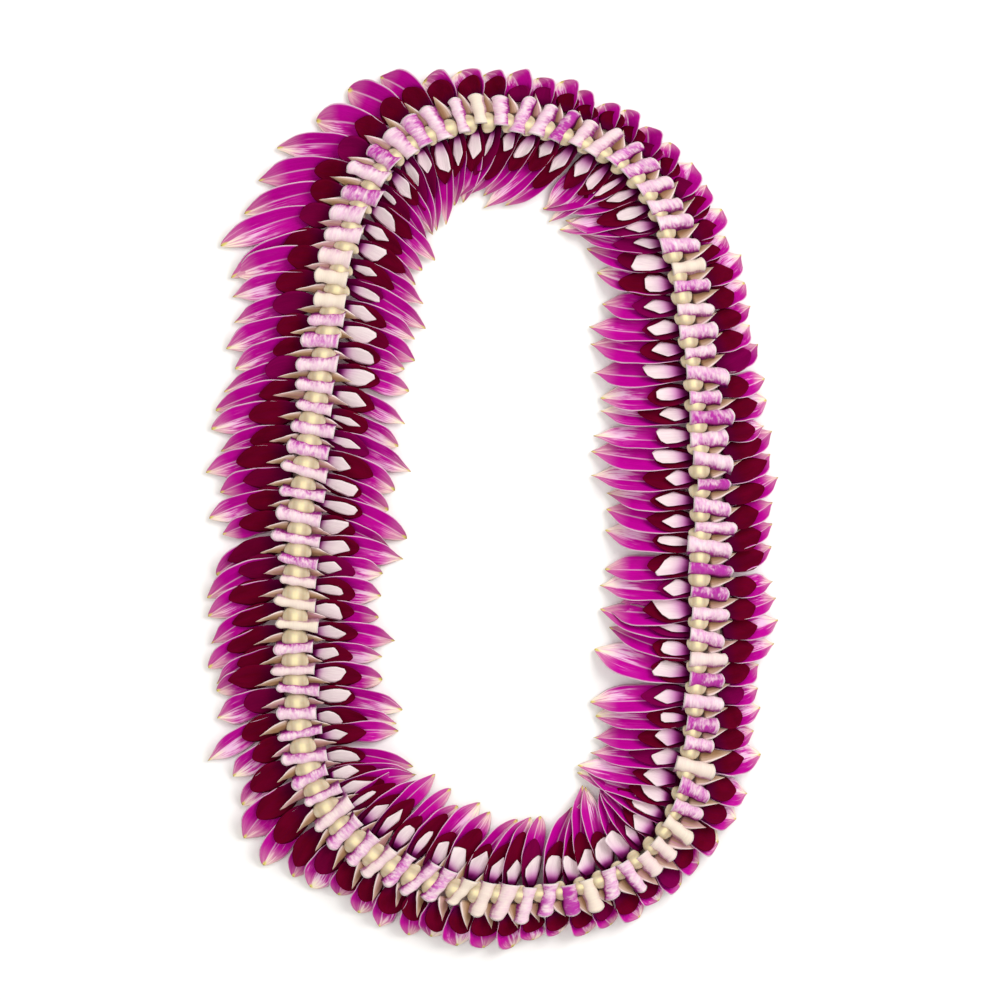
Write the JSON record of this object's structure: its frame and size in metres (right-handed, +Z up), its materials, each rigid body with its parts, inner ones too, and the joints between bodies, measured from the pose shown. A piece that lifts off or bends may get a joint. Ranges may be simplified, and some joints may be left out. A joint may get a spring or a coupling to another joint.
{
  "type": "fresh flower lei",
  "caption": "Closed oval lei of threaded orchid blooms lying flat: magenta petals and burgundy lobes to both sides of a pale spine of rolled petals and columns.",
  "frame": {"origin": "on the surface that the lei lies on, under the middle of its outline", "axes": "+Y along the oval's long axis, +X across it, +Z up from the surface"},
  "size_m": [0.277, 0.4188, 0.0188],
  "materials": {
    "petals": "soft magenta petal with pale margins and a satin sheen",
    "lips": "matte burgundy lip lobe",
    "strips": "pale rolled petal with fine purple veins, cream column and white throat patch",
    "thread": "undyed cotton thread"
  },
  "bodies": {
    "root": {"lei_thread": "thread", "petals_01": "petals", "lips_01": "lips", "strips_01": "strips", "petals_02": "petals", "lips_02": "lips", "strips_02": "strips", "petals_03": "petals", "lips_03": "lips", "strips_03": "strips", "petals_04": "petals", "lips_04": "lips", "strips_04": "strips", "petals_05": "petals", "lips_05": "lips", "strips_05": "strips", "petals_06": "petals", "lips_06": "lips", "strips_06": "strips", "petals_07": "petals", "lips_07": "lips", "strips_07": "strips", "petals_08": "petals", "lips_08": "lips", "strips_08": "strips", "petals_09": "petals", "lips_09": "lips", "strips_09": "strips", "petals_10": "petals", "lips_10": "lips", "strips_10": "strips", "petals_11": "petals", "lips_11": "lips", "strips_11": "strips", "petals_12": "petals", "lips_12": "lips", "strips_12": "strips", "petals_13": "petals", "lips_13": "lips", "strips_13": "strips", "petals_14": "petals", "lips_14": "lips", "strips_14": "strips", "petals_15": "petals", "lips_15": "lips", "strips_15": "strips", "petals_16": "petals", "lips_16": "lips", "strips_16": "strips", "petals_17": "petals", "lips_17": "lips", "strips_17": "strips", "petals_18": "petals", "lips_18": "lips", "strips_18": "strips"}
  },
  "joints": []
}
